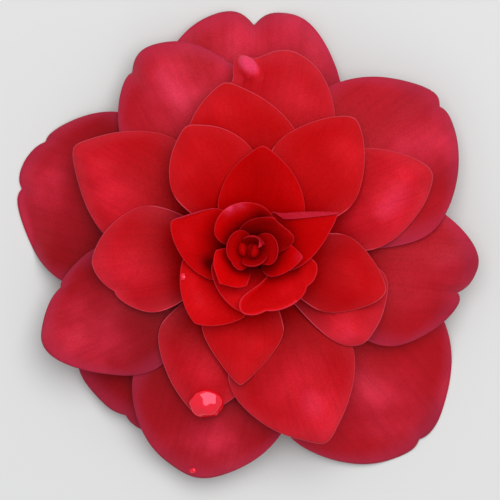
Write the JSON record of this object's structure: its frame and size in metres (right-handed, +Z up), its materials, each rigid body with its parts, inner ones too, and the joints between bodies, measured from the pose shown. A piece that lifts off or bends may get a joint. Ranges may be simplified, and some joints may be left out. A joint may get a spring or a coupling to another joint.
{
  "type": "camellia flower",
  "caption": "Rose-form double camellia bloom: broad overlapping petals in whorls round a tight rolled bud, picked at the calyx and lying face up.",
  "frame": {"origin": "centre of the small flat scar under the calyx, on the flower's axis, where it rests on the table", "axes": "+Z up out of the flower's face; +Y towards the notched guard petal; +X to the right of it, seen from above"},
  "size_m": [0.0955, 0.0969, 0.029],
  "materials": {
    "petal": "satin, velvety",
    "calyx": "matt, silky"
  },
  "bodies": {
    "root": {"calyx": "calyx", "heart_bud": "petal", "guard_petal_1": "petal", "guard_petal_2": "petal", "guard_petal_3": "petal", "guard_petal_4": "petal", "guard_petal_5": "petal", "guard_petal_6": "petal", "guard_petal_7": "petal", "guard_petal_8": "petal", "guard_petal_9": "petal", "outer_petal_1": "petal", "outer_petal_2": "petal", "outer_petal_3": "petal", "outer_petal_4": "petal", "outer_petal_5": "petal", "outer_petal_6": "petal", "outer_petal_7": "petal", "middle_petal_1": "petal", "middle_petal_2": "petal", "middle_petal_3": "petal", "middle_petal_4": "petal", "middle_petal_5": "petal", "inner_petal_1": "petal", "inner_petal_2": "petal", "inner_petal_3": "petal", "inner_petal_4": "petal", "inner_petal_5": "petal", "inner_petal_6": "petal", "collar_petal_1": "petal", "collar_petal_2": "petal", "collar_petal_3": "petal", "collar_petal_4": "petal"}
  },
  "joints": []
}
